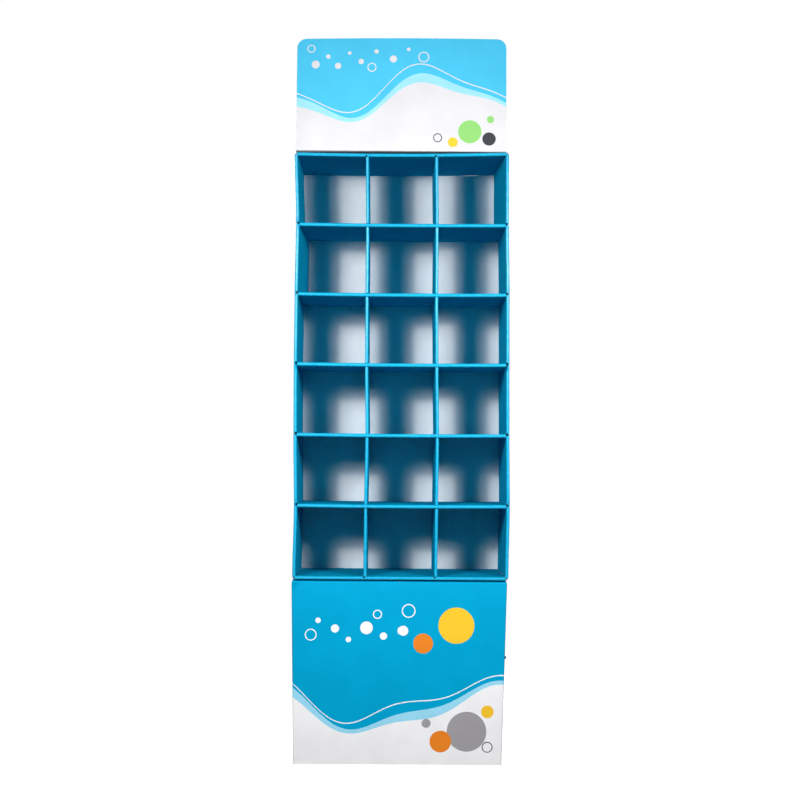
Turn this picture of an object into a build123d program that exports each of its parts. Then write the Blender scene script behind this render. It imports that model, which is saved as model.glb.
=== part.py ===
from build123d import *
import math
import os

# A free-standing display stand of corrugated board: a plinth, an upright roll-over tray that shelves and
# dividers split into pigeonholes, and a header card. Every sheet is folded from one blank.
# Millimetres, +Z up, the open front towards -Y, the origin on the floor under the middle of the stand.

# Board and folds
BOARD = 3.0  # thickness of the corrugated board
FOLD_INSIDE = 0.5  # inside radius of a single fold
CASE_FOLD_GAP = 1.5  # space between the two plies of a case wall
SHELF_FOLD_GAP = 2.0  # the same in a shelf
DIVIDER_FOLD_GAP = 1.0  # the same in a divider

# Pigeonholes
COLUMNS = 3
ROWS = 6
CELL_WIDTH = 150.0
CELL_HEIGHT = 150.0
CELL_DEPTH = 300.0

# Plinth
PLINTH_HEIGHT = 408.0
PLINTH_DRAW_IN = 8.5  # each side wall leans in by this much on its way down to the floor
SIDE_FLAP = 150.0  # reach of the side flaps under the plinth's top
FLAP_GAP = 0.5  # between the side flaps and the flaps that lie on them
FLAP_MEETING_GAP = 2.0  # between the front and back flaps where they meet

# Header card
HEADER_HEIGHT = 257.5
HEADER_SIDE_MARGIN = 4.7  # the card is narrower than the case by this much on each side
HEADER_CORNER = 21.0
HEADER_FOOT = 80.0  # depth of the foot that lies on the case
HEADER_FOOT_CORNER = 15.0
HEADER_SETBACK = 0.5  # behind the rolled rim of the case

# Tabs, slits and die-cut reliefs
LOCK_TAB = 50.0  # tabs that lock the inner flaps of the case into its back panel
INSERT_SETBACK = 1.0  # shelves and dividers sit this far behind the case's rim
TAB_SETBACK = 30.0  # from the front and back edges of a shelf or divider to its end tabs
SLOT_GAP = 0.3  # room on each side of a board in its slot
SLIT_GAP = 0.4  # room on each side of an end tab in the slit between two flaps
END_GAP = 0.3  # between the ends of a shelf or divider and the case
BACK_GAP = 0.5  # between the back edges of the plies and the back panel
LOCK_SLOT_GAP = 0.8  # room at the ends and the outer side of a lock tab in the back panel
LOCK_SLOT_SEAM = 0.15  # room at its inner side, in view from the pigeonhole
MITRE_GAP = 0.6  # seam between neighbouring case walls
CORNER_NICK_RADIUS = 4.5  # relief at the mitred corners of the rim
CORNER_HOLE_RADIUS = 1.8  # round end of that relief, on the mitre
CORNER_HOLE_INSET = 4.4  # of the hole's middle, from the outer faces of both walls
CORNER_NICK_DEPTH = 35.0

# Plinth supports
SUPPORT_SIDE_GAP = 1.0  # between a support's upright edges and the plinth walls

# Push rivet
RIVET_HEIGHT = 239.0
RIVET_SETBACK = 14.0  # from the front of the plinth
RIVET_HEAD_RADIUS = 4.5
RIVET_CROWN_RADIUS = 2.8  # flat of the head
RIVET_HEAD_RISE = 3.0
RIVET_SHANK_RADIUS = 2.3
RIVET_BARB_RADIUS = 3.2
RIVET_BARB_LENGTH = 4.0
RIVET_TIP_RADIUS = 1.2
RIVET_FIT = 0.15  # room round the shank

# Sizes that follow from the ones above
CUT = 1.0  # how far a cutting form runs past what it cuts
through_board = 4 * BOARD  # a cutting form of this size, centred on a board, passes right through it
fold_radius = BOARD + FOLD_INSIDE
back_fold_radius = BOARD - FOLD_INSIDE  # of the case's back edges, within the panel
case_wall = 2 * BOARD + CASE_FOLD_GAP
shelf_thickness = 2 * BOARD + SHELF_FOLD_GAP
divider_thickness = 2 * BOARD + DIVIDER_FOLD_GAP
inner_width = COLUMNS * CELL_WIDTH + (COLUMNS - 1) * divider_thickness
inner_height = ROWS * CELL_HEIGHT + (ROWS - 1) * shelf_thickness
case_width = inner_width + 2 * case_wall
case_height = inner_height + 2 * case_wall
case_depth = CELL_DEPTH + BOARD
case_top = PLINTH_HEIGHT + case_height
case_middle = PLINTH_HEIGHT + case_height / 2
front = -case_depth / 2
back_inside = front + CELL_DEPTH
insert_depth = CELL_DEPTH - INSERT_SETBACK - BACK_GAP
insert_front = front + INSERT_SETBACK
tab_reach = case_wall / 2
plinth_foot_width = case_width - 2 * PLINTH_DRAW_IN


def spread(count, pitch):
    """Places of `count` things at a pitch, centred on zero."""
    return [(i - (count - 1) / 2) * pitch for i in range(count)]


cell_columns = spread(COLUMNS, CELL_WIDTH + divider_thickness)
cell_rows = spread(ROWS, CELL_HEIGHT + shelf_thickness)
divider_places = spread(COLUMNS - 1, CELL_WIDTH + divider_thickness)
shelf_places = spread(ROWS - 1, CELL_HEIGHT + shelf_thickness)
shelf_tabs = [place + (BOARD + SHELF_FOLD_GAP) / 2 for place in shelf_places]  # the upper ply
divider_tabs = [place - (BOARD + DIVIDER_FOLD_GAP) / 2 for place in divider_places]  # the left ply

# Folded sections are drawn with x running back from the front edge and then turned this way or that
LEVEL = Plane(origin=(0, 0, 0), x_dir=(0, 1, 0), z_dir=(1, 0, 0))
UPRIGHT = Plane(origin=(0, 0, 0), x_dir=(0, 1, 0), z_dir=(0, 0, 1))

# Which point of a form its place refers to
TO_THE_BACK = (Align.CENTER, Align.MIN, Align.CENTER)
STANDING = (Align.CENTER, Align.CENTER, Align.MIN)
HANGING = (Align.CENTER, Align.CENTER, Align.MAX)


def round_nosed(nose, end, radius):
    """A bar of twice the radius that ends in a half round about the point `nose`."""
    bar = Rectangle(end - nose, 2 * radius, align=(Align.MIN, Align.CENTER))
    return Pos(nose, 0) * (Circle(radius) + bar)


def fold_section(depth, gap):
    """A sheet doubled over into a rounded front edge, its two plies open at the back."""
    nose = BOARD + gap / 2
    return round_nosed(nose, depth, nose) - round_nosed(nose, depth + CUT, gap / 2)


def tabbed_sheet(plane, length, gap):
    """A folded sheet of this length along the plane's normal, with one ply run on into a tab at each end."""
    sheet = extrude(plane * fold_section(insert_depth, gap), length / 2 - END_GAP, both=True)
    tab = Box(insert_depth - 2 * TAB_SETBACK, BOARD, tab_reach + END_GAP)
    for end in (-1, 1):
        middle = end * (length + tab_reach - END_GAP) / 2
        sheet += plane * (Pos(insert_depth / 2, (BOARD + gap) / 2, middle) * tab)
    return sheet


def make_shelf():
    """A doubled sheet with slots from its back edge that the dividers pass through."""
    shelf = tabbed_sheet(LEVEL, inner_width, SHELF_FOLD_GAP)
    slot_start = (insert_depth - SLOT_GAP) / 2
    for place in divider_places:
        slot = Box(divider_thickness + 2 * SLOT_GAP, insert_depth, 2 * shelf_thickness, align=TO_THE_BACK)
        shelf -= Pos(place, slot_start, 0) * slot
    return shelf


def make_divider():
    """A doubled sheet with slots from its front edge that the shelves pass through."""
    divider = tabbed_sheet(UPRIGHT, inner_height, DIVIDER_FOLD_GAP)
    slot_end = (insert_depth + SLOT_GAP) / 2
    for place in shelf_places:
        slot = Box(2 * divider_thickness, slot_end + CUT, shelf_thickness + 2 * SLOT_GAP, align=TO_THE_BACK)
        divider -= Pos(0, -CUT, place) * slot
    return divider


def case_wall_form(length, slits, locks):
    """One double wall of the case, lying along X with its outer face down and its rolled rim at y = 0.

    The inner ply is slit into one flap for each pigeonhole, and each flap has a tab for the back panel.
    """
    upward = (Align.CENTER, Align.MIN, Align.MIN)
    section = Pos(0, case_wall / 2) * fold_section(CELL_DEPTH, CASE_FOLD_GAP)
    wall = extrude(LEVEL * section, length / 2, both=True)
    inner_ply = case_wall - BOARD
    wall -= Pos(0, CELL_DEPTH - BACK_GAP, inner_ply) * Box(length, BOARD, case_wall, align=upward)
    for place in locks:
        tab = Box(LOCK_TAB, BACK_GAP + BOARD, BOARD, align=upward)
        wall += Pos(place, CELL_DEPTH - BACK_GAP, inner_ply) * tab
    for place in slits:
        slit = Box(BOARD + 2 * SLIT_GAP, 2 * CELL_DEPTH, case_wall, align=upward)
        wall -= Pos(place, -CUT, case_wall / 2) * slit
    # The ends are mitred so that the rims of neighbouring walls meet like a picture frame
    end = (length - MITRE_GAP) / 2
    mitre = Plane.XZ * make_face(Polyline(
        (-end, 0), (end, 0), (end - case_wall, case_wall), (case_wall - end, case_wall), close=True))
    return wall & extrude(mitre, 2 * case_depth, both=True)


def lock_slots(locks):
    """Cutters for the slots that a wall's lock tabs pass through, in that wall's own place."""
    slot = Box(LOCK_TAB + 2 * LOCK_SLOT_GAP, 2 * BOARD, BOARD + LOCK_SLOT_GAP + LOCK_SLOT_SEAM, align=HANGING)
    return [Pos(place, CELL_DEPTH + BOARD / 2, case_wall + LOCK_SLOT_SEAM) * slot for place in locks]


def make_case():
    """Back panel and four double walls of the upright tray, one folded sheet."""
    panel = Box(case_width, BOARD, case_height, align=TO_THE_BACK)
    panel = fillet(panel.faces().sort_by(Axis.Y)[-1].edges(), back_fold_radius)
    case = Pos(0, back_inside, case_middle) * panel
    # Each wall's place, its length, and where along it the slits and lock tabs come. The top and left
    # walls are turned so that their own length runs the other way.
    bottom = Pos(0, front, PLINTH_HEIGHT)
    top = Pos(0, front, case_top) * Rot(Y=180)
    left = Pos(-case_width / 2, front, case_middle) * Rot(Y=90)
    right = Pos(case_width / 2, front, case_middle) * Rot(Y=-90)
    walls = [
        (bottom, case_width, divider_tabs, cell_columns),
        (top, case_width, [-tab for tab in divider_tabs], cell_columns),
        (left, case_height, [-tab for tab in shelf_tabs], cell_rows),
        (right, case_height, shelf_tabs, cell_rows),
    ]
    for place, length, slits, locks in walls:
        for slot in lock_slots(locks):
            case -= place * slot
    for place, *wall in walls:
        case += place * case_wall_form(*wall)
    nick = Rot(X=90) * Cylinder(CORNER_NICK_RADIUS, 2 * CORNER_NICK_DEPTH)
    hole = Rot(X=90) * Cylinder(CORNER_HOLE_RADIUS, 2 * CORNER_NICK_DEPTH)
    for side in (-1, 1):
        for end in (-1, 1):
            corner = Pos(side * case_width / 2, front, case_middle + end * case_height / 2)
            case -= corner * (nick + Pos(-side * CORNER_HOLE_INSET, 0, -end * CORNER_HOLE_INSET) * hole)
    return case


def plinth_form(inset):
    """The tapered upright form of the plinth, drawn in from its outer faces by `inset`."""
    foot = plinth_foot_width / 2 - inset
    head = case_width / 2 - inset
    outline = Polyline((-foot, 0), (foot, 0), (head, PLINTH_HEIGHT), (-head, PLINTH_HEIGHT), close=True)
    return extrude(Plane.XZ * make_face(outline), case_depth / 2 - inset, both=True)


def rivet_place():
    """Where the rivet's head seats on the leaning right wall, with +Z along the wall's outward normal."""
    lean = math.atan2(PLINTH_DRAW_IN, PLINTH_HEIGHT)
    reach = plinth_foot_width / 2 + PLINTH_DRAW_IN * RIVET_HEIGHT / PLINTH_HEIGHT
    return Pos(reach, front + RIVET_SETBACK, RIVET_HEIGHT) * Rot(Y=90 + math.degrees(lean))


def make_plinth():
    """Four walls and four top flaps of the plinth, one folded sheet, open underneath."""
    block = plinth_form(0)
    folds = block.edges() - block.faces().sort_by(Axis.Z)[0].edges()
    block = fillet(folds, fold_radius)
    flap_under = PLINTH_HEIGHT - BOARD
    hollow = plinth_form(BOARD) & Box(case_width, case_depth, flap_under, align=STANDING)
    plinth = block - hollow
    inner_depth = case_depth - 2 * BOARD
    plinth -= Pos(0, 0, PLINTH_HEIGHT) * Box(2 * case_width, FLAP_MEETING_GAP, through_board)
    for side in (-1, 1):
        wall_top = side * case_width / 2
        plinth -= Pos(wall_top, 0, flap_under - FLAP_GAP / 2) * Box(through_board, inner_depth, FLAP_GAP)
        flap = Box(SIDE_FLAP, inner_depth - 2 * END_GAP, BOARD, align=HANGING)
        plinth += Pos(wall_top - side * (BOARD + SIDE_FLAP) / 2, 0, flap_under - FLAP_GAP) * flap
    plinth -= rivet_place() * Cylinder(RIVET_SHANK_RADIUS + RIVET_FIT, through_board)
    return plinth


def make_wide_support():
    """Upright sheet across the plinth, slotted from its top edge."""
    height = PLINTH_HEIGHT - 2 * BOARD - FLAP_GAP
    slab = Box(case_width, BOARD, height, align=STANDING)
    support = plinth_form(BOARD + SUPPORT_SIDE_GAP) & slab
    slot = Box(BOARD + 2 * SLOT_GAP, 2 * BOARD, height, align=STANDING)
    return support - Pos(0, 0, (height - SLOT_GAP) / 2) * slot


def make_deep_support():
    """Upright sheet from the front to the back of the plinth, slotted from its bottom edge."""
    height = PLINTH_HEIGHT - BOARD
    depth = case_depth - 2 * (BOARD + SUPPORT_SIDE_GAP)
    support = Box(BOARD, depth, height, align=STANDING)
    slot_top = (PLINTH_HEIGHT - 2 * BOARD - FLAP_GAP + SLOT_GAP) / 2
    slot = Box(2 * BOARD, BOARD + 2 * SLOT_GAP, slot_top, align=STANDING)
    return support - slot


def make_header():
    """Upright face with rounded top corners, folded back into a foot that lies on the case."""
    width = case_width - 2 * HEADER_SIDE_MARGIN
    face = Rectangle(width, HEADER_HEIGHT, align=(Align.CENTER, Align.MIN))
    face = fillet(face.vertices().group_by(Axis.Y)[-1], HEADER_CORNER)
    foot = Rectangle(width, HEADER_FOOT, align=(Align.CENTER, Align.MIN))
    foot = fillet(foot.vertices().group_by(Axis.Y)[-1], HEADER_FOOT_CORNER)
    card = extrude(Plane.XZ * face, -BOARD) + extrude(foot, BOARD)
    fold = card.edges().filter_by(Axis.X).group_by(Axis.Z)[0].sort_by(Axis.Y)[0]
    card = fillet(fold, fold_radius)
    return Pos(0, front + case_wall / 2 + HEADER_SETBACK, case_top) * card


def make_rivet():
    """Bevelled head outside, shank through the board and a barb that holds behind it."""
    grip = BOARD + RIVET_FIT
    head = Cone(RIVET_HEAD_RADIUS, RIVET_CROWN_RADIUS, RIVET_HEAD_RISE, align=STANDING)
    shank = Cylinder(RIVET_SHANK_RADIUS, grip, align=HANGING)
    barb = Cone(RIVET_TIP_RADIUS, RIVET_BARB_RADIUS, RIVET_BARB_LENGTH, align=HANGING)
    return rivet_place() * (head + shank + Pos(0, 0, -grip) * barb)


parts = {
    "plinth_box": make_plinth(),
    "plinth_support_wide": make_wide_support(),
    "plinth_support_deep": make_deep_support(),
    "outer_case": make_case(),
    "header_card": make_header(),
    "side_rivet": make_rivet(),
}
shelf = make_shelf()
for number, place in enumerate(reversed(shelf_places), start=1):
    parts[f"shelf_{number}"] = Pos(0, insert_front, case_middle + place) * shelf
divider = make_divider()
for name, place in zip(("left_divider", "right_divider"), divider_places):
    parts[name] = Pos(place, insert_front, case_middle) * divider

os.makedirs("parts", exist_ok=True)
for name, solid in parts.items():
    export_step(solid, f"parts/{name}.step")
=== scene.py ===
"""Looks of a display stand of corrugated board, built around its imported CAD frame.

Every sheet is copied from its CAD node, cut on a fine grid, bent a little as real board is, and given
its printed side, its plain side and its raw edges. Metres, +Z up, the open front towards -Y.
"""

import math

import bmesh
import bpy
from mathutils import Euler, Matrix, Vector


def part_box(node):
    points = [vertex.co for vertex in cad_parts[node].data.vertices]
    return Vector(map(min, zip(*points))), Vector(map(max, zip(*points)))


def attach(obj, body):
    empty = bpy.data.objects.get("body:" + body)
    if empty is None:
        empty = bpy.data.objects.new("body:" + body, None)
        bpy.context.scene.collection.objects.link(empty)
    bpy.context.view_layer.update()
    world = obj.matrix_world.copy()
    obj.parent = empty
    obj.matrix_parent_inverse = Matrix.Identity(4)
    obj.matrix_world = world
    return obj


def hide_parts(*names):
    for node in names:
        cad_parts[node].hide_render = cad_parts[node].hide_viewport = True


MM = 0.001

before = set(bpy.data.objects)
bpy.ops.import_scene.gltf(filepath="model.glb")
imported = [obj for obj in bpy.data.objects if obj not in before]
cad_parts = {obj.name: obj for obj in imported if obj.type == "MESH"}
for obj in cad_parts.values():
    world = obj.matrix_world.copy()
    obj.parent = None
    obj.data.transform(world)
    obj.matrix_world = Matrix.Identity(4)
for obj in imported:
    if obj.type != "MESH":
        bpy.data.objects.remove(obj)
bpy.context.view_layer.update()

# Places read from the frame
SHELVES = 5
case_low, case_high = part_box("outer_case")
plinth_low, plinth_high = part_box("plinth_box")
header_low, header_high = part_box("header_card")
shelf_boxes = [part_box(f"shelf_{n}") for n in range(1, SHELVES + 1)]
divider_boxes = [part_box(f"{side}_divider") for side in ("left", "right")]
half_width = case_high.x
front = case_low.y

# Levels of the rims and shelves from the top down, and places of the upright walls from the left
row_levels = [case_high.z, *((low.z + high.z) / 2 for low, high in shelf_boxes), case_low.z]
stations = [-half_width, *((low.x + high.x) / 2 for low, high in divider_boxes), half_width]

# The board and its walls, as in the CAD model
BOARD = 3.0 * MM
CASE_WALL = 7.5 * MM
FOLD_REACH = 4.0 * MM  # a rolled front edge ends this far behind the rim
SLIT_RISE = 2.5 * MM  # of the slits between the inner flaps, over the middles of the shelves
SLIT_HALF = 1.9 * MM  # half the height of such a slit
LOCK_TAB = 50.0 * MM  # length of the tabs that lock the inner flaps into the back panel
PLINTH_DRAW_IN = 8.5 * MM  # of each side of the plinth, at the floor
TOUCH = 0.05 * MM  # closeness within which a point counts as lying on a plane

# How the board has bent in use, at the top rim, at each shelf from the top and at the bottom rim (mm):
# shifts to the right of the left wall, both dividers and the right wall
SIDEWAYS = [
    (-1.7, -0.1, -2.3, -0.9),
    (2.6, 1.5, -0.3, -0.7),
    (0.9, 1.3, -0.3, 1.4),
    (0.2, 1.7, 1.2, 2.0),
    (0.7, 3.6, 3.4, 2.8),
    (3.1, 1.7, 2.5, 4.4),
    (0.5, 1.3, 1.6, 2.2),
]
# and shifts upwards of the left and right ends
UPWARDS = [(-3.2, 0.0), (-2.6, -2.4), (-0.3, -0.2), (1.3, 1.4), (2.2, 2.1), (2.5, 2.4), (0.0, 0.0)]
RIM_SAG = 3.0 * MM  # of the top wall, in the middle of its span
SHELF_SAG = 1.4 * MM
LOOSE_FLAPS = {(-1, 2): 9.6 * MM, (1, 1): 11.0 * MM}  # by side and row: how far the back edge has come away
HIGH_TAB = 170.0 * MM  # place across of a lock tab of the top wall that sits high in its slot
HIGH_TAB_LIFT = 0.9 * MM
HIGH_TAB_REACH = 40.0 * MM  # to either side
SLIT_GAPE = 0.9 * MM  # how far each edge of a slit has opened at the rim
GAPE_REACH = 35.0 * MM  # how far back from the rim that shows
HEADER_LEAN = 5.0 * MM  # of the header's top edge, backwards
HEADER_CURL = 10.0 * MM  # of the header's upper corners, further back than the middle
HEADER_CURVE = 1.5  # power by which the lean and the curl grow with the height
HEADER_SLIP = 3.2 * MM  # the card is stuck on this far left of the middle
HEADER_DROP = 2.6 * MM  # of its left end, with the case's top
PLINTH_BULGE = 1.2 * MM
PLINTH_LEAN = {"top": 0.6 * MM, "foot": 2.7 * MM}  # to the left
PLINTH_DIP = 3.6 * MM  # of the front top fold, which has been pressed down
DIP_REACH = 60.0 * MM  # how far back from the front that shows


def smooth(t):
    """Eases from 0 to 1 as t goes from 0 to 1."""
    t = max(0.0, min(1.0, t))
    return t * t * (3 - 2 * t)


def between_levels(shifts, z):
    """Eases between the shifts that are given for the rims and shelves."""
    for upper, lower, at_upper, at_lower in zip(row_levels, row_levels[1:], shifts, shifts[1:]):
        if z >= lower:
            share = smooth((z - lower) / (upper - lower))
            return [b + (a - b) * share for a, b in zip(at_upper, at_lower)]
    return shifts[-1]


def between_stations(shifts, places, x):
    """Goes straight between the shifts (mm) that are given at these places across the case."""
    for left, right, at_left, at_right in zip(places, places[1:], shifts, shifts[1:]):
        if x <= right or right == places[-1]:
            return (at_left + (at_right - at_left) * (x - left) / (right - left)) * MM


def bend_case(place):
    """Where a point of the case, a shelf or a divider lies once the board has bent."""
    across = between_stations(between_levels(SIDEWAYS, place.z), stations, place.x)
    up = between_stations(between_levels(UPWARDS, place.z), (-half_width, half_width), place.x)
    span = max(0.0, 1 - (place.x / half_width) ** 2)
    near_top = smooth((place.z - row_levels[1]) / (row_levels[0] - row_levels[1]))
    sag = (SHELF_SAG + (RIM_SAG - SHELF_SAG) * near_top) * span
    over_bottom = smooth((place.z - row_levels[-1]) / (row_levels[-2] - row_levels[-1]))
    return place + Vector((across, 0, up - sag * over_bottom))


def open_slit(place, to_side):
    """Shift of a point on the edge of a slit between two flaps, which gapes at the rim."""
    gape = SLIT_GAPE * smooth(1 - (place.y - front) / GAPE_REACH)
    for level in row_levels[1:-1]:
        rise = place.z - level - SLIT_RISE
        if abs(rise) < SLIT_HALF + TOUCH and CASE_WALL / 2 - TOUCH < to_side < CASE_WALL + TOUCH:
            outwards = gape if to_side < CASE_WALL / 2 + TOUCH else 0.0
            return Vector((math.copysign(outwards, place.x), 0, math.copysign(gape, rise)))
    return Vector()


def lift_tab(place, reach):
    """Shift of a point of the top wall's inner ply, near the tab that sits high."""
    below_top = case_high.z - place.z
    if not CASE_WALL / 2 <= below_top <= CASE_WALL + TOUCH:
        return Vector()
    share = smooth(1 - abs(place.x - HIGH_TAB) / HIGH_TAB_REACH)
    return Vector((0, 0, HIGH_TAB_LIFT * share * reach))


def loosen_flap(place, to_side, reach):
    """Shift of a point of a side wall's inner flap that has come out of its slot."""
    side = 1 if place.x > 0 else -1
    to_level = min(place.z - case_low.z, case_high.z - place.z)
    in_inner_ply = CASE_WALL / 2 <= to_side <= CASE_WALL + TOUCH and to_side < to_level
    row = sum(place.z < level + SLIT_RISE for level in row_levels[:-1])
    lean = LOOSE_FLAPS.get((side, row), 0.0)
    if not in_inner_ply or not lean:
        return Vector()
    pitch = row_levels[1] - row_levels[2]
    flap_middle = row_levels[1] + pitch / 2 - pitch * (row - 1)
    in_tab = abs(place.z - flap_middle) < LOCK_TAB / 2 + TOUCH
    past_panel = place.y - case_high.y + BOARD
    if past_panel >= 0 and not in_tab:
        return Vector()
    pulled_out = max(0.0, past_panel + TOUCH)
    return Vector((-side * lean * reach, -pulled_out, 0))


def bend_outer_case(place):
    """The case's own bend: slits gape, a tab sits high, and two inner flaps have come away at the back."""
    to_side = half_width - abs(place.x)
    reach = (place.y - front) / (case_high.y - front)
    own = open_slit(place, to_side) + lift_tab(place, reach)
    return bend_case(place) + own + loosen_flap(place, to_side, reach)


def bend_header(place):
    """The card leans back, and its free upper corners curl."""
    rise = max(0.0, (place.z - header_low.z) / (header_high.z - header_low.z))
    curl = (place.x / header_high.x) ** 2
    drop = HEADER_DROP * (1 - place.x / header_high.x) / 2
    back = (HEADER_LEAN + HEADER_CURL * curl) * rise ** HEADER_CURVE
    return place + Vector((-HEADER_SLIP, back, -drop))


def bend_plinth(place):
    """The plinth leans, its sheets swell between their folds, and its front top fold dips."""
    up = math.sin(math.pi * place.z / plinth_high.z)
    across = math.cos(math.pi / 2 * place.x / plinth_high.x)
    along = math.cos(math.pi / 2 * place.y / plinth_high.y)
    swell = Vector((place.x / plinth_high.x * along, place.y / plinth_high.y * across, 0))
    share = place.z / plinth_high.z
    lean = PLINTH_LEAN["foot"] + (PLINTH_LEAN["top"] - PLINTH_LEAN["foot"]) * share
    dip = PLINTH_DIP * share * smooth(1 - (place.y - front) / DIP_REACH)
    return place + swell * PLINTH_BULGE * up - Vector((lean, 0, dip))


def no_bend(place):
    """Leaves a point where it is."""
    return place


# Colours, linear
SKY_BLUE = (0.06, 0.49, 0.75, 1)
CASE_BLUE = (0.0, 0.33, 0.535, 1)
PLINTH_BLUE = (0.0, 0.33, 0.58, 1)
LIT_ROLLED_BLUE = (0.0, 0.37, 0.62, 1)  # the case's blue painted lighter on the rims: painted light
PALE_BLUE = (0.30, 0.66, 0.84, 1)
HEADER_WHITE = (0.655, 0.65, 0.675, 1)
PLINTH_WHITE = (0.86, 0.86, 0.88, 1)
YELLOW = (0.86, 0.52, 0.03, 1)
ORANGE = (0.78, 0.22, 0.02, 1)
GREY = (0.33, 0.32, 0.34, 1)
GREEN = (0.25, 0.58, 0.16, 1)
CHARCOAL = (0.04, 0.04, 0.05, 1)
LINER_WHITE = (0.90, 0.90, 0.90, 1)
LINER_SPECK = (0.80, 0.78, 0.75, 1)
KRAFT_BROWN = (0.40, 0.27, 0.15, 1)
KRAFT_FIBRE = (0.50, 0.36, 0.22, 1)
PLASTIC_BLACK = (0.012, 0.012, 0.014, 1)
PLASTIC_SMUDGE = (0.022, 0.022, 0.025, 1)
FLOOR_WHITE = (0.80, 0.80, 0.80, 1)
FLOOR_DULL = (0.20, 0.20, 0.20, 1)  # for the light that the floor sends on

# Browns of a cut edge: the fluting, its hollows, painted dark as shade inside the flutes, and torn paper
RAW_BROWNS = ((0.28, 0.18, 0.10, 1), (0.06, 0.036, 0.022, 1), (0.42, 0.31, 0.20, 1))
# Nearly black copies of these browns: painted shade on the cut edges in the slits and within the case
SHADED_SLIT_BROWNS = ((0.03, 0.02, 0.014, 1), (0.01, 0.008, 0.006, 1), (0.05, 0.035, 0.024, 1))

# Finishes of the board: roughness, specular level and depth of the washboard
CASE_FINISH = (0.88, 0.02, 0.006 * MM)
ROLLED_FINISH = (0.28, 0.32, 0.006 * MM)
HEADER_FINISH = (0.45, 0.10, 0.006 * MM)
PLINTH_FINISH = (0.45, 0.03, 0.006 * MM)
LINER_FINISH = (0.72, 0.01, 0.06 * MM)
KRAFT_FINISH = (0.8, 0.2, 0.006 * MM)

# Noises, by their scale per metre
NOISE_DETAIL = 2.0
NOISE_RANGE = (0.3, 0.7)  # most values of a noise lie between these
CLOUD_SCALE = 14.0
CLOUD_DEPTH = 0.03
FIBRE_SCALE = 900.0
FIBRE_DETAIL = 3.0
FIBRE_DEPTH = 0.015
GLOSS_SCALE = 60.0
GLOSS_DEPTH = 0.04
GRAIN_SCALE = 1400.0
GRAIN_SHARE = 0.5  # of the grain in the washboard's height
FLUTE_PITCH = 6.5 * MM

# Patches that show where a noise is high: scale, detail, and the values between which they set in
LINER_SPECKS = (450.0, 4.0, 0.62, 0.74)
EDGE_TEARS = (700.0, 3.0, 0.55, 0.75)
KRAFT_FIBRES = (320.0, 5.0, 0.35, 0.7)
PLASTIC_SMUDGES = (400.0, 2.0, 0.4, 0.7)

# Cut edges and plastic
HOLLOW_SHADE_RANGE = (-0.3, 0.8)  # values of the flutes' sine between which the painted shade of a hollow sets in
EDGE_BUMP = 0.4 * MM
EDGE_ROUGHNESS = 0.9
EDGE_SPECULAR = 0.1
PLASTIC_GRAIN = 2500.0
PLASTIC_BUMP = 0.01 * MM
PLASTIC_ROUGHNESS = (0.35, 0.5)
PLASTIC_SPECULAR = 0.5

# Printed design. A wavy line has a level and some swells, each a height, a length and a phase
EDGE_SOFTNESS = 0.25 * MM  # of a printed outline
HEADER_EDGE = (112 * MM, [(42 * MM, 0.46, 0.5), (12 * MM, 0.21, 1.2)])  # of the white fields
PLINTH_EDGE = (118 * MM, [(46 * MM, 0.56, -0.9), (14 * MM, 0.24, 2.0)])
BAND_WIDTH = (15 * MM, [(6 * MM, 0.31, 0.4)])  # of the pale band over the white field
LINE_RISE = (31 * MM, [(11 * MM, 0.36, 1.1)])  # of the thin line over the white field's edge
LINE_HALF = 1.2 * MM  # half the thin line's width
RING_LINE = 2.2 * MM
FOLD_SHADE_RANGE = (0.8 * MM, 2.2 * MM)  # heights between which the painted shade along the header's fold fades
# How dark that painted shade is at the fold
FOLD_SHADE_STRENGTH = 0.85

# Discs and rings: across and up from the middle of the foot, radius (mm), ink
HEADER_DISCS = [
    (-196, 196, 9, HEADER_WHITE),
    (-168, 214, 5, HEADER_WHITE),
    (-146, 193, 7, HEADER_WHITE),
    (-120, 222, 4, HEADER_WHITE),
    (-94, 203, 6, HEADER_WHITE),
    (-60, 226, 5, HEADER_WHITE),
    (-22, 209, 8, HEADER_WHITE),
    (12, 231, 4, HEADER_WHITE),
    (150, 46, 26, GREEN),
    (193, 30, 15, CHARCOAL),
    (112, 22, 11, YELLOW),
    (196, 74, 8, GREEN),
]
HEADER_RINGS = [
    (-206, 232, 8, HEADER_WHITE),
    (-70, 190, 9, HEADER_WHITE),
    (46, 214, 11, HEADER_WHITE),
    (78, 32, 9, CHARCOAL),
]
PLINTH_DISCS = [
    (126, 308, 40, YELLOW),
    (52, 268, 22, ORANGE),
    (8, 296, 11, PLINTH_WHITE),
    (-34, 284, 8, PLINTH_WHITE),
    (-72, 302, 14, PLINTH_WHITE),
    (-112, 276, 6, PLINTH_WHITE),
    (-142, 300, 9, PLINTH_WHITE),
    (-180, 318, 6, PLINTH_WHITE),
    (150, 74, 44, GREY),
    (92, 52, 24, ORANGE),
    (196, 118, 14, YELLOW),
    (60, 92, 10, GREY),
]
PLINTH_RINGS = [
    (-196, 286, 12, PLINTH_WHITE),
    (-48, 332, 9, PLINTH_WHITE),
    (20, 340, 14, PLINTH_WHITE),
    (196, 40, 11, CHARCOAL),
]


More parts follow.
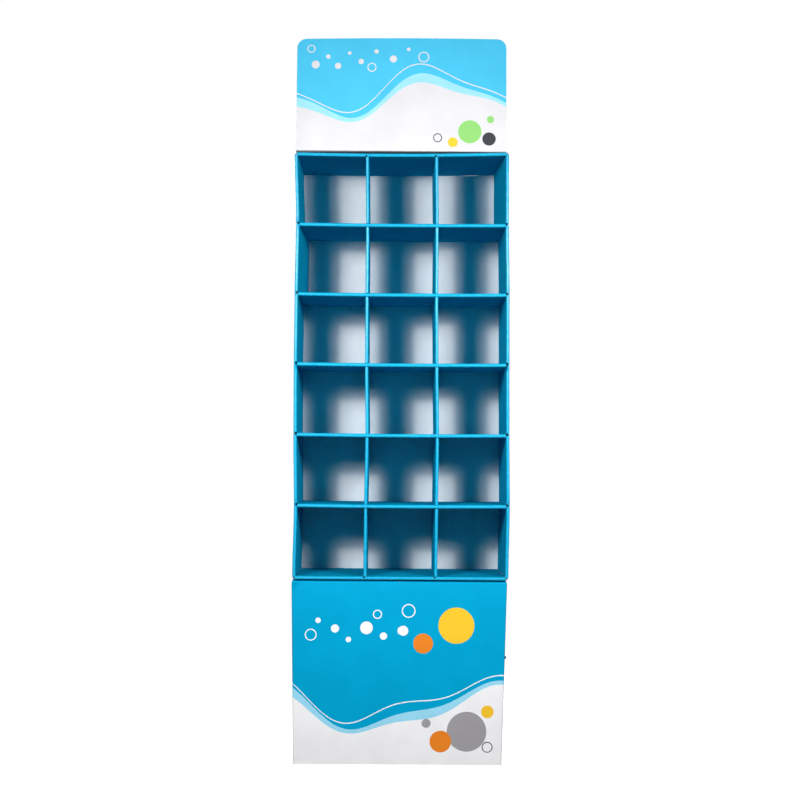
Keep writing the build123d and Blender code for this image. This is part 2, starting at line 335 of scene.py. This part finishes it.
class Shader:
    """A material under construction. Values that go into nodes are sockets, numbers or colours."""

    def __init__(self, name):
        self.material = bpy.data.materials.new(name)
        self.material.use_nodes = True
        self.tree = self.material.node_tree
        self.surface = self.tree.nodes["Principled BSDF"]
        self.place = self.add("ShaderNodeTexCoord").outputs["Object"]
        self.x, self.y, self.z = self.add("ShaderNodeSeparateXYZ", {"Vector": self.place}).outputs

    def add(self, kind, inputs=None, **settings):
        """A new node with these settings, and with its inputs fed."""
        node = self.tree.nodes.new(kind)
        for name, value in settings.items():
            setattr(node, name, value)
        for key, value in (inputs or {}).items():
            self.feed(node.inputs[key], value)
        return node

    def feed(self, socket, value):
        """Links a socket to another one, or sets its value."""
        if isinstance(value, bpy.types.NodeSocket):
            self.tree.links.new(value, socket)
        else:
            socket.default_value = value

    def math(self, operation, *values):
        """The result of one operation on these values."""
        return self.add("ShaderNodeMath", dict(enumerate(values)), operation=operation).outputs[0]

    def ramp(self, value, start, end, low=0.0, high=1.0):
        """Smooth change from `low` where the value is `start` to `high` where it is `end`."""
        inputs = {"Value": value, "From Min": start, "From Max": end, "To Min": low, "To Max": high}
        return self.add("ShaderNodeMapRange", inputs, interpolation_type="SMOOTHSTEP").outputs["Result"]

    def mix(self, factor, under, over, blend="MIX"):
        """Lays one colour over another."""
        node = self.add("ShaderNodeMix", data_type="RGBA", blend_type=blend)
        self.feed(node.inputs["Factor"], factor)
        self.feed(node.inputs["A"], under)
        self.feed(node.inputs["B"], over)
        return node.outputs["Result"]

    def noise(self, scale, detail=NOISE_DETAIL):
        """A noise that is fixed to the piece."""
        inputs = {"Vector": self.place, "Scale": scale, "Detail": detail}
        return self.add("ShaderNodeTexNoise", inputs).outputs["Fac"]

    def vary(self, middle, depth, scale, detail=NOISE_DETAIL):
        """A value that wanders around its middle, by this depth to either side."""
        return self.ramp(self.noise(scale, detail), *NOISE_RANGE, middle - depth, middle + depth)

    def patches(self, scale, detail, start, end):
        """Mask of the places where a noise is high."""
        return self.ramp(self.noise(scale, detail), start, end)

    def sine(self, value, length, phase=0.0):
        """A sine of the value with this wave length."""
        return self.math("SINE", self.math("MULTIPLY_ADD", value, 2 * math.pi / length, phase))

    def round_walls(self):
        """Runs along the front, the back and the sides, across upright flutes."""
        return self.math("ADD", self.x, self.y)

    def bump(self, height, distance):
        """Gives the surface a relief of this depth."""
        node = self.add("ShaderNodeBump", {"Height": height, "Distance": distance})
        self.feed(self.surface.inputs["Normal"], node.outputs["Normal"])

    def finish(self, colour, roughness, specular):
        """Sets the surface's colour and gloss, and gives the finished material."""
        self.feed(self.surface.inputs["Base Color"], colour)
        self.feed(self.surface.inputs["Roughness"], roughness)
        self.surface.inputs["Specular IOR Level"].default_value = specular
        return self.material


def lay_on_board(shader, colour, flute_axis, finish):
    """Gives an ink or liner colour the board's mottling, faint flute lines and fibre."""
    roughness, specular, washboard = finish
    clouds = shader.vary(1.0, CLOUD_DEPTH, CLOUD_SCALE)
    fibres = shader.vary(1.0, FIBRE_DEPTH, FIBRE_SCALE, FIBRE_DETAIL)
    tint = shader.mix(1.0, colour, shader.math("MULTIPLY", clouds, fibres), "MULTIPLY")
    flutes = shader.sine(flute_axis, FLUTE_PITCH)
    shader.bump(shader.math("MULTIPLY_ADD", shader.noise(GRAIN_SCALE), GRAIN_SHARE, flutes), washboard)
    gloss = shader.vary(roughness, GLOSS_DEPTH, GLOSS_SCALE)
    return shader.finish(tint, gloss, specular)


def below(shader, value, line):
    """Mask of where a value lies under a line, with the soft edge of a print."""
    return shader.ramp(shader.math("SUBTRACT", value, line), -EDGE_SOFTNESS, EDGE_SOFTNESS, 1.0, 0.0)


def from_centre(shader, across, up, centre):
    """Distance from a point of the print."""
    off_x = shader.math("SUBTRACT", across, centre[0])
    off_z = shader.math("SUBTRACT", up, centre[1])
    squares = [shader.math("MULTIPLY", off, off) for off in (off_x, off_z)]
    return shader.math("SQRT", shader.math("ADD", *squares))


def wave(shader, across, level, swells):
    """Height of a wavy line."""
    line = level
    for height, length, phase in swells:
        line = shader.math("MULTIPLY_ADD", shader.sine(across, length, phase), height, line)
    return line


def paint_waves(shader, ground, white, across, up, edge):
    """Lays a thin white line, a pale band and a white field over a ground colour."""
    over_edge = shader.math("SUBTRACT", up, wave(shader, across, *edge))
    colour = shader.mix(below(shader, over_edge, wave(shader, across, *BAND_WIDTH)), ground, PALE_BLUE)
    off_line = shader.math("SUBTRACT", over_edge, wave(shader, across, *LINE_RISE))
    on_line = below(shader, shader.math("ABSOLUTE", off_line), LINE_HALF)
    colour = shader.mix(on_line, colour, white)
    return shader.mix(below(shader, over_edge, 0.0), colour, white)


def paint_dots(shader, colour, across, up, discs, rings):
    """Lays filled discs and drawn rings over a colour."""
    for centre_x, centre_z, radius, ink in discs:
        distance = from_centre(shader, across, up, (centre_x * MM, centre_z * MM))
        colour = shader.mix(below(shader, distance, radius * MM), colour, ink)
    for centre_x, centre_z, radius, ink in rings:
        distance = from_centre(shader, across, up, (centre_x * MM, centre_z * MM))
        off_line = shader.math("ABSOLUTE", shader.math("SUBTRACT", distance, radius * MM))
        colour = shader.mix(below(shader, off_line, RING_LINE / 2), colour, ink)
    return colour


def make_case_print():
    """Plain blue print of the case, its shelves and its dividers."""
    shader = Shader("blue_print")
    return lay_on_board(shader, CASE_BLUE, shader.round_walls(), CASE_FINISH)


def make_lit_rolled_print():
    """The same print where the board is rolled into a rim, stretched and so a little shinier, and painted
    lighter: painted light on the rims.
    """
    shader = Shader("lit_rolled_blue_print")
    along_rims = shader.math("ADD", shader.x, shader.z)
    return lay_on_board(shader, LIT_ROLLED_BLUE, along_rims, ROLLED_FINISH)


def make_header_print():
    """Sky-blue print of the header: a wavy white field with bubbles above it, and painted shade along the
    fold at its foot.
    """
    shader = Shader("header_print")
    up = shader.math("SUBTRACT", shader.z, header_low.z)
    colour = paint_waves(shader, SKY_BLUE, HEADER_WHITE, shader.x, up, HEADER_EDGE)
    colour = paint_dots(shader, colour, shader.x, up, HEADER_DISCS, HEADER_RINGS)
    # Painted shade along the fold at the card's foot, in charcoal
    fold_shade = shader.ramp(up, *FOLD_SHADE_RANGE, FOLD_SHADE_STRENGTH, 0.0)
    colour = shader.mix(fold_shade, colour, CHARCOAL)
    return lay_on_board(shader, colour, shader.x, HEADER_FINISH)


def make_plinth_print():
    """Blue print of the plinth, whose white field runs on round the sides and the back."""
    shader = Shader("plinth_print")
    past_front = shader.math("SUBTRACT", shader.y, front)
    round_sides = shader.math("MULTIPLY_ADD", shader.math("SIGN", shader.x), past_front, shader.x)
    round_back = shader.math("SUBTRACT", 2 * half_width + plinth_high.y - plinth_low.y, shader.x)
    at_back = shader.math("GREATER_THAN", shader.y, plinth_high.y - BOARD)
    to_back = shader.math("SUBTRACT", round_back, round_sides)
    across = shader.math("MULTIPLY_ADD", at_back, to_back, round_sides)
    colour = paint_waves(shader, PLINTH_BLUE, PLINTH_WHITE, across, shader.z, PLINTH_EDGE)
    colour = paint_dots(shader, colour, across, shader.z, PLINTH_DISCS, PLINTH_RINGS)
    return lay_on_board(shader, colour, shader.round_walls(), PLINTH_FINISH)


def make_liner():
    """Unprinted white side of the board."""
    shader = Shader("white_liner")
    colour = shader.mix(shader.patches(*LINER_SPECKS), LINER_WHITE, LINER_SPECK)
    return lay_on_board(shader, colour, shader.round_walls(), LINER_FINISH)


def make_raw_edge(name, browns):
    """Cut edge of the board, where its brown fluting shows, with painted shade in the hollows between the
    flutes.
    """
    shader = Shader(name)
    fluting, hollow_shade, torn_paper = browns
    along = shader.math("ADD", shader.round_walls(), shader.z)
    # Painted shade in the hollows between the flutes
    shaded_hollows = shader.ramp(shader.sine(along, FLUTE_PITCH), *HOLLOW_SHADE_RANGE)
    colour = shader.mix(shaded_hollows, fluting, hollow_shade)
    colour = shader.mix(shader.patches(*EDGE_TEARS), colour, torn_paper)
    shader.bump(shader.math("SUBTRACT", shader.noise(FIBRE_SCALE), shaded_hollows), EDGE_BUMP)
    return shader.finish(colour, EDGE_ROUGHNESS, EDGE_SPECULAR)


def make_kraft():
    """Plain brown board of the hidden supports."""
    shader = Shader("kraft_board")
    colour = shader.mix(shader.patches(*KRAFT_FIBRES), KRAFT_BROWN, KRAFT_FIBRE)
    return lay_on_board(shader, colour, shader.round_walls(), KRAFT_FINISH)


def make_plastic():
    """Dark moulded plastic of the push rivet."""
    shader = Shader("dark_plastic")
    grain = shader.noise(PLASTIC_GRAIN)
    colour = shader.mix(shader.patches(*PLASTIC_SMUDGES), PLASTIC_BLACK, PLASTIC_SMUDGE)
    shader.bump(grain, PLASTIC_BUMP)
    return shader.finish(colour, shader.ramp(grain, *NOISE_RANGE, *PLASTIC_ROUGHNESS), PLASTIC_SPECULAR)


BLUE_PRINT = make_case_print()
LIT_ROLLED_PRINT = make_lit_rolled_print()
HEADER_PRINT = make_header_print()
PLINTH_PRINT = make_plinth_print()
LINER = make_liner()
RAW_EDGE = make_raw_edge("raw_edge", RAW_BROWNS)
# Cut edges painted nearly black: painted shade in the slits and within the case
SHADED_SLIT_EDGE = make_raw_edge("shaded_slit_edge", SHADED_SLIT_BROWNS)
KRAFT = make_kraft()
PLASTIC = make_plastic()

# Cutting of the sheets
CAD_WELD = 0.002 * MM  # points of a CAD mesh that lie this close are joined
CUT_WELD = 0.04 * MM  # and so are those that the cuts leave this close
CUT_TOUCH = 0.001 * MM  # a cut goes through a point that lies this close
FLAT = math.radians(0.4)  # faces that meet at a smaller angle become one
SHARP = math.radians(35)  # edges that turn by more stay sharp in the shading


def steps(low, high, spacing):
    """Places of cuts that divide a stretch into equal lengths near the spacing."""
    count = max(1, round((high - low) / spacing))
    return [low + (high - low) * i / count for i in range(1, count)]


def cut_on_grid(mesh, low, high, spacing):
    """Cuts a mesh across each axis, at this distance, or not at all where the spacing is None."""
    for axis, distance in enumerate(spacing):
        if distance is None:
            continue
        normal = Vector([float(i == axis) for i in range(3)])
        for place in steps(low[axis], high[axis], distance):
            parts = [*mesh.verts, *mesh.edges, *mesh.faces]
            bmesh.ops.bisect_plane(
                mesh, geom=parts, dist=CUT_TOUCH, plane_co=normal * place, plane_no=normal)


def make_mesh(node, kind, bend, spacing):
    """Copies a CAD node's mesh, cuts it on a grid, sorts its faces by material and bends it."""
    low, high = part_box(node)
    mesh = bmesh.new()
    mesh.from_mesh(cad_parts[node].data)
    bmesh.ops.remove_doubles(mesh, verts=mesh.verts, dist=CAD_WELD)
    bmesh.ops.dissolve_limit(mesh, angle_limit=FLAT, verts=mesh.verts, edges=mesh.edges)
    cut_on_grid(mesh, low, high, spacing)
    bmesh.ops.remove_doubles(mesh, verts=mesh.verts, dist=CUT_WELD)
    mesh.normal_update()
    for face in mesh.faces:
        face.material_index = kind(face)
        face.smooth = True
    for edge in mesh.edges:
        edge.smooth = len(edge.link_faces) == 2 and edge.calc_face_angle(0.0) < SHARP
    for vertex in mesh.verts:
        vertex.co = bend(vertex.co.copy())
    mesh.normal_update()
    data = bpy.data.meshes.new(f"dressed_{node}")
    mesh.to_mesh(data)
    mesh.free()
    return data


def dress(node, materials, kind, bend, spacing):
    """Puts a bent copy of a CAD node in its place. `kind` gives the index of a face's material."""
    data = make_mesh(node, kind, bend, spacing)
    for material in materials:
        data.materials.append(material)
    piece = bpy.data.objects.new(f"dressed_{node}", data)
    bpy.context.scene.collection.objects.link(piece)
    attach(piece, "root")
    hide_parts(node)


# Kinds of faces, as indices of a sheet's materials
# The last kind is a cut edge painted nearly black, as painted shade in a slit or within the case
PRINT, PLAIN, CUT_EDGE, ROLLED, SHADED_SLIT = range(5)

# Axes along which the ends of the shelves and of the dividers lie
SHELF_END_AXIS = 0
DIVIDER_END_AXIS = 2

# Cosines between a face's normal and an axis
SQUARE = 0.9  # from here on a face counts as square to the axis
ROLL_TILT = 0.05  # from here on a face of a rolled edge counts as turned to the front
FOLD_TILT = 0.3  # from here on a face of the header's fold counts as printed
MITRE_TOLERANCE = 0.1  # closeness of a mitred face's normal to the diagonal


def near(a, b):
    """Whether two places along an axis are as good as the same."""
    return abs(a - b) < TOUCH


def is_tab_end(face):
    """Whether a face lies wholly within the inner ply of one of the case's walls."""
    to_sides = [half_width - abs(vertex.co.x) for vertex in face.verts]
    to_levels = [min(vertex.co.z - case_low.z, case_high.z - vertex.co.z) for vertex in face.verts]
    return any(
        min(depths) > CASE_WALL - BOARD - TOUCH and max(depths) < CASE_WALL + TOUCH
        for depths in (to_sides, to_levels)
    )


def is_mitred(normal):
    """Whether a face is one of the slanting cuts at the case's corners."""
    on_diagonal = abs(abs(normal.x) - abs(normal.z)) < MITRE_TOLERANCE
    return on_diagonal and abs(normal.y) < MITRE_TOLERANCE


def is_wall_side(normal, to_side, to_level):
    """Whether a face is the outside or the inside of one of the case's walls."""
    on_side_wall = to_side < TOUCH or near(to_side, CASE_WALL)
    on_level_wall = to_level < TOUCH or near(to_level, CASE_WALL)
    return (abs(normal.x) > SQUARE and on_side_wall) or (abs(normal.z) > SQUARE and on_level_wall)


def case_face(face):
    """Printed outside and rolled-over inside, plain back panel within, raw cut edges."""
    middle, normal = face.calc_center_bounds(), face.normal
    back_inside = case_high.y - BOARD
    to_side = half_width - abs(middle.x)
    to_level = min(middle.z - case_low.z, case_high.z - middle.z)
    if normal.y < -SQUARE and near(middle.y, back_inside):
        return PLAIN
    if normal.y > SQUARE:
        return CUT_EDGE if middle.y < back_inside or is_tab_end(face) else PRINT
    if middle.y < front + FOLD_REACH and normal.y < -ROLL_TILT:
        return ROLLED
    if is_mitred(normal):
        return CUT_EDGE
    at_back_fold = middle.y > back_inside and min(to_side, to_level) < BOARD
    if is_wall_side(normal, to_side, to_level) or at_back_fold:
        return PRINT
    in_corner = max(to_side, to_level) < 2 * CASE_WALL
    # Cut faces away from the corners lie in the slits and get the nearly black browns of painted shade
    return CUT_EDGE if in_corner else SHADED_SLIT


def insert_face(end_axis):
    """Gives the rule for the faces of a shelf or divider, whose ends lie along this axis."""
    def kind(face):
        near_front = face.calc_center_bounds().y < front + 2 * FOLD_REACH
        if near_front and face.normal.y < -ROLL_TILT:
            return ROLLED
        cut = abs(face.normal[end_axis]) > SQUARE or abs(face.normal.y) > SQUARE
        # Every cut face of an insert lies within the case and gets the nearly black browns of painted shade
        return SHADED_SLIT if cut else PRINT
    return kind


shelf_face = insert_face(SHELF_END_AXIS)
divider_face = insert_face(DIVIDER_END_AXIS)


def header_face(face):
    """Print on the front, round the fold and under the foot."""
    middle, normal = face.calc_center_bounds(), face.normal
    under_fold = normal.z < -FOLD_TILT and middle.z < header_low.z + FOLD_REACH
    if normal.y < -FOLD_TILT or under_fold:
        return PRINT
    behind = normal.y > SQUARE and near(middle.y, header_low.y + BOARD)
    on_foot = normal.z > SQUARE and near(middle.z, header_low.z + BOARD)
    return PLAIN if behind or on_foot else CUT_EDGE


def plinth_face(face):
    """Print outside and on top, plain inside, raw along the open foot."""
    middle = face.calc_center_bounds()
    if face.normal.z < -SQUARE and middle.z < TOUCH:
        return CUT_EDGE
    if face.normal.z > SQUARE:
        return PRINT
    draw_in = PLINTH_DRAW_IN * (1 - middle.z / plinth_high.z)
    outside = (
        abs(middle.y) > plinth_high.y - BOARD / 2
        or plinth_high.x - abs(middle.x) - draw_in < BOARD / 2
        or middle.z > plinth_high.z - BOARD / 2
    )
    return PRINT if outside else PLAIN


def only_face(face):
    """The rule for a piece of one material."""
    return PRINT


# Distances between the cuts
FINE = 20 * MM
MEDIUM = 30 * MM
COARSE = 40 * MM


def build_pieces():
    """Dresses every node of the frame."""
    case_inks = [BLUE_PRINT, LINER, RAW_EDGE, LIT_ROLLED_PRINT, SHADED_SLIT_EDGE]
    dress("outer_case", case_inks, case_face, bend_outer_case, (COARSE, COARSE, FINE))
    for number in range(1, SHELVES + 1):
        dress(f"shelf_{number}", case_inks, shelf_face, bend_case, (FINE, None, None))
    for side in ("left", "right"):
        dress(f"{side}_divider", case_inks, divider_face, bend_case, (None, None, FINE))
    header_inks = [HEADER_PRINT, LINER, RAW_EDGE]
    dress("header_card", header_inks, header_face, bend_header, (FINE, None, FINE))
    plinth_inks = [PLINTH_PRINT, LINER, RAW_EDGE]
    dress("plinth_box", plinth_inks, plinth_face, bend_plinth, (MEDIUM, MEDIUM, MEDIUM))
    for node in ("plinth_support_wide", "plinth_support_deep"):
        dress(node, [KRAFT], only_face, no_bend, (COARSE, COARSE, COARSE))
    dress("side_rivet", [PLASTIC], only_face, bend_plinth, (None, None, None))


build_pieces()

# Floor and room
FLOOR_REACH = 30.0
GLOW_RANGE = (0.35, 1.3)  # distances from the middle between which the floor's glow rises
GLOW = (0.82, 1.0)
ROOM_LIGHT = 0.003


def seen_rays(tree):
    """Value that is 1 for rays that show a surface, and 0 for those that carry its light."""
    rays = tree.nodes.new("ShaderNodeLightPath").outputs
    seen = rays["Is Camera Ray"]
    for name in ("Is Glossy Ray", "Is Transmission Ray"):
        either = tree.nodes.new("ShaderNodeMath")
        either.operation = "MAXIMUM"
        tree.links.new(seen, either.inputs[0])
        tree.links.new(rays[name], either.inputs[1])
        seen = either.outputs[0]
    return seen


def make_floor_material():
    """White where it is seen, apart from the stand's shadow, and dull for the light that it sends on."""
    shader = Shader("pale_floor")
    tree = shader.tree
    tree.nodes.remove(shader.surface)
    distance = shader.add("ShaderNodeVectorMath", {0: shader.place}, operation="LENGTH").outputs["Value"]
    glow = shader.add("ShaderNodeEmission", {"Strength": shader.ramp(distance, *GLOW_RANGE, *GLOW)})
    matte = shader.add("ShaderNodeBsdfDiffuse", {"Color": FLOOR_WHITE})
    dull = shader.add("ShaderNodeBsdfDiffuse", {"Color": FLOOR_DULL})
    white = shader.add("ShaderNodeAddShader", {0: glow.outputs[0], 1: matte.outputs[0]})
    both = shader.add("ShaderNodeMixShader", {0: seen_rays(tree), 1: dull.outputs[0], 2: white.outputs[0]})
    tree.links.new(both.outputs[0], tree.nodes["Material Output"].inputs["Surface"])
    return shader.material


def make_floor():
    """A wide flat floor."""
    data = bpy.data.meshes.new("floor")
    corners = [(x * FLOOR_REACH, y * FLOOR_REACH, 0) for x, y in ((-1, -1), (1, -1), (1, 1), (-1, 1))]
    data.from_pydata(corners, [], [(0, 1, 2, 3)])
    data.materials.append(make_floor_material())
    floor = bpy.data.objects.new("floor", data)
    bpy.context.scene.collection.objects.link(floor)


def make_world():
    """White where it is seen, and a dim room for the light that it sends."""
    world = bpy.data.worlds.new("studio")
    world.use_nodes = True
    bpy.context.scene.world = world
    tree = world.node_tree
    background = tree.nodes["Background"]
    background.inputs["Color"].default_value = (1, 1, 1, 1)
    level = tree.nodes.new("ShaderNodeMapRange")
    tree.links.new(seen_rays(tree), level.inputs["Value"])
    level.inputs["To Min"].default_value = ROOM_LIGHT
    level.inputs["To Max"].default_value = 1.0
    tree.links.new(level.outputs["Result"], background.inputs["Strength"])


# Round lamps with grids: place, size and power. Each front lamp has a brighter middle
LAMP_SPREAD = math.radians(85)
FRONT_AIM = (0, front, 0.86)
FRONT_LAMPS = {
    "left_lamp": ((-0.90, front - 2.26, 1.40), 0.57, 9.0),
    "left_lamp_middle": ((-0.882, front - 2.26, 1.40), 0.133, 3.63),
    "right_lamp": ((0.937, front - 1.94, 1.31), 0.45, 7.03),
    "right_lamp_middle": ((0.92, front - 1.94, 1.31), 0.117, 2.83),
}
BACK_AIM = (0, -front, 0.9)
BACK_ACROSS = 1.6  # of the two back lamps, one on either side
BACK_PLACE = (-front + 2.2, 1.9)  # how far back and how high they are
BACK_SIZE = 0.9
BACK_POWER = 11


def add_lamp(name, place, aim, size, power):
    """A round studio lamp at a place, turned towards a point."""
    data = bpy.data.lights.new(name, "AREA")
    data.shape = "DISK"
    data.spread = LAMP_SPREAD
    data.size = size
    data.energy = power
    lamp = bpy.data.objects.new(name, data)
    lamp.location = place
    lamp.rotation_euler = (Vector(aim) - Vector(place)).to_track_quat("-Z", "Y").to_euler()
    bpy.context.scene.collection.objects.link(lamp)


def add_lights():
    """Lights the front as in the photograph, and the back from both sides."""
    for name, (place, size, power) in FRONT_LAMPS.items():
        add_lamp(name, place, FRONT_AIM, size, power)
    for side in (-1, 1):
        add_lamp("back_lamp", (side * BACK_ACROSS, *BACK_PLACE), BACK_AIM, BACK_SIZE, BACK_POWER)


CAMERA_DISTANCE = 4.24  # in front of the case's rim
CAMERA_ACROSS = -0.022
CAMERA_HEIGHT = 0.690
CAMERA_PITCH = math.radians(1.59)
CAMERA_YAW = math.radians(-0.27)
CAMERA_ROLL = math.radians(0.40)
CAMERA_LENS = 85.8  # mm
CAMERA_SENSOR = 36  # mm


def add_camera():
    """The camera, at the photograph's viewing angle."""
    data = bpy.data.cameras.new("camera")
    data.sensor_width = CAMERA_SENSOR
    data.lens = CAMERA_LENS
    camera = bpy.data.objects.new("camera", data)
    camera.location = (CAMERA_ACROSS, front - CAMERA_DISTANCE, CAMERA_HEIGHT)
    level = Euler((math.pi / 2 + CAMERA_PITCH, 0, CAMERA_YAW)).to_quaternion()
    camera.rotation_mode = "QUATERNION"
    camera.rotation_quaternion = level @ Euler((0, 0, CAMERA_ROLL)).to_quaternion()
    bpy.context.scene.collection.objects.link(camera)
    bpy.context.scene.camera = camera


make_floor()
make_world()
add_lights()
add_camera()
bpy.context.scene.view_settings.view_transform = "Standard"
